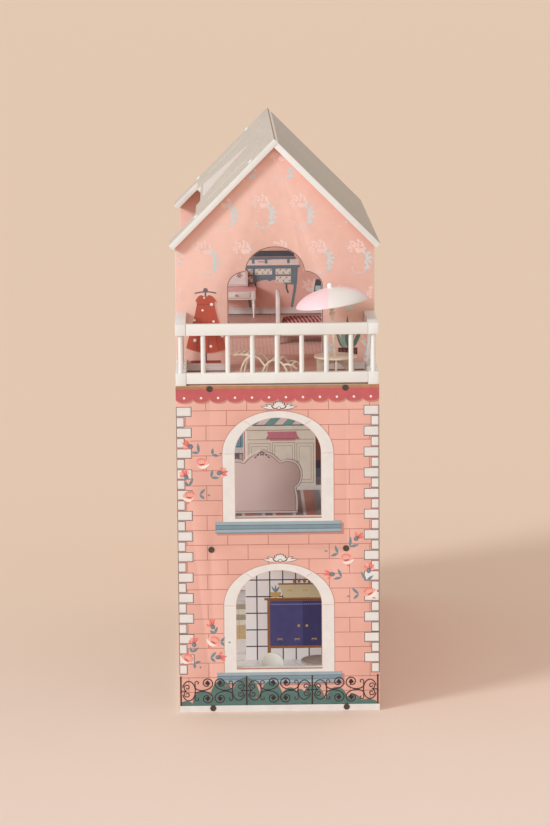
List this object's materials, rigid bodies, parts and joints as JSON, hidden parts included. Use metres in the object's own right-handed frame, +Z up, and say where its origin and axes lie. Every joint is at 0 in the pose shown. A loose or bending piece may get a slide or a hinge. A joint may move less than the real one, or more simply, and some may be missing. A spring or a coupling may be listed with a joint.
{
  "type": "wooden dollhouse",
  "caption": "Tall wooden dollhouse with a pitched roof, arched windows, an attic clover doorway, a railed balcony and loose doll furniture, open along its long side.",
  "frame": {"origin": "on the floor under the middle of the bounding box", "axes": "+Z up, -Y towards the balcony end, -X the open play side"},
  "size_m": [0.3182, 0.7632, 0.848],
  "materials": {
    "brick_printed_board": "satin printed board, pink bricks with white corner stones",
    "floral_printed_board": "satin printed board, salmon with a pale floral print",
    "roof_paint": "matt grey-beige paint, white cut edges",
    "railing_white": "satin white paint",
    "furniture_white": "satin warm white paint",
    "marble_printed_floor": "satin print of pale marble",
    "striped_printed_floor": "satin print of red-brown and blue-grey stripes",
    "plank_printed_floor": "satin print of brown-pink planks",
    "tile_printed_board": "satin print of white tiles with dark joints",
    "cream_printed_board": "satin print of a cream cabinet",
    "bolt_bronze": "dark bronze, half gloss",
    "screw_white": "white enamel",
    "pale_wood": "clear varnished pale wood",
    "canopy_pink_cream": "matt moulded plastic in pink and cream quarters",
    "mauve_board": "satin mauve paint with pale cut edges",
    "burgundy_fabric": "ribbed burgundy cloth",
    "grey_brown_wood": "satin grey-brown paint"
  },
  "bodies": {
    "house": {"balcony_end_wall": "brick_printed_board", "far_end_wall": "brick_printed_board", "ground_floor_panel": "marble_printed_floor", "middle_floor_panel": "striped_printed_floor", "attic_floor_panel": "plank_printed_floor", "back_panel": "brick_printed_board", "attic_back_panel": "floral_printed_board", "ground_partition": "tile_printed_board", "middle_partition": "cream_printed_board", "attic_door_gable": "floral_printed_board", "attic_far_gable": "floral_printed_board", "roof_left_panel": "roof_paint", "roof_right_panel": "roof_paint", "rail_left_top": "railing_white", "rail_left_bottom": "railing_white", "rail_right_top": "railing_white", "rail_right_bottom": "railing_white", "rail_front_top": "railing_white", "rail_front_bottom": "railing_white", "baluster_front_1": "railing_white", "baluster_front_2": "railing_white", "baluster_front_3": "railing_white", "baluster_front_4": "railing_white", "baluster_front_5": "railing_white", "baluster_front_6": "railing_white", "baluster_front_7": "railing_white", "baluster_left_1": "railing_white", "baluster_left_2": "railing_white", "baluster_left_3": "railing_white", "baluster_left_4": "railing_white", "baluster_right_1": "railing_white", "baluster_right_2": "railing_white", "baluster_right_3": "railing_white", "baluster_right_4": "railing_white", "bolt_ground_left": "bolt_bronze", "bolt_ground_right": "bolt_bronze", "bolt_middle_left": "bolt_bronze", "bolt_middle_right": "bolt_bronze", "bolt_deck_left": "bolt_bronze", "bolt_deck_right": "bolt_bronze", "roof_screw_near_upper": "screw_white", "roof_screw_near_lower": "screw_white", "roof_screw_far_upper": "screw_white", "roof_screw_far_lower": "screw_white"},
    "garden_table": {"garden_table_top": "pale_wood", "garden_table_legs": "pale_wood"},
    "parasol": {"parasol_pole": "pale_wood", "parasol_canopy": "canopy_pink_cream"},
    "lounger": {"garden_lounger": "pale_wood"},
    "vanity": {"vanity_table": "furniture_white", "vanity_mirror": "furniture_white"},
    "vanity_drawer": {"vanity_drawer": "furniture_white"},
    "bed": {"bed_headboard": "furniture_white", "bed_footboard": "furniture_white", "bed_base": "furniture_white", "mattress": "burgundy_fabric"},
    "sofa": {"sofa_back": "mauve_board", "sofa_seat": "mauve_board"},
    "chair": {"round_back_chair": "furniture_white"},
    "dining_table": {"dining_table": "grey_brown_wood"}
  },
  "joints": [
    {"name": "garden_table_lift", "type": "slide", "parent": "house", "child": "garden_table", "axis": [0, 0, 1], "range_m": [0, 0.11]},
    {"name": "parasol_lift", "type": "slide", "parent": "garden_table", "child": "parasol", "axis": [-0.0698, 0, 0.9976], "range_m": [0, 0.06]},
    {"name": "lounger_lift", "type": "slide", "parent": "house", "child": "lounger", "axis": [-0.1736, 0, 0.9848], "range_m": [0, 0.11]},
    {"name": "vanity_slide", "type": "slide", "parent": "house", "child": "vanity", "axis": [-1, 0, 0], "range_m": [0, 0.16]},
    {"name": "vanity_drawer_slide", "type": "slide", "parent": "vanity", "child": "vanity_drawer", "axis": [0, -1, 0], "range_m": [0, 0.026]},
    {"name": "bed_slide", "type": "slide", "parent": "house", "child": "bed", "axis": [-1, 0, 0], "range_m": [0, 0.3]},
    {"name": "sofa_slide", "type": "slide", "parent": "house", "child": "sofa", "axis": [-1, 0, 0], "range_m": [0, 0.21]},
    {"name": "chair_slide", "type": "slide", "parent": "house", "child": "chair", "axis": [-1, 0, 0], "range_m": [0, 0.16]},
    {"name": "dining_table_lift", "type": "slide", "parent": "house", "child": "dining_table", "axis": [0, 0, 1], "range_m": [0, 0.12]}
  ]
}
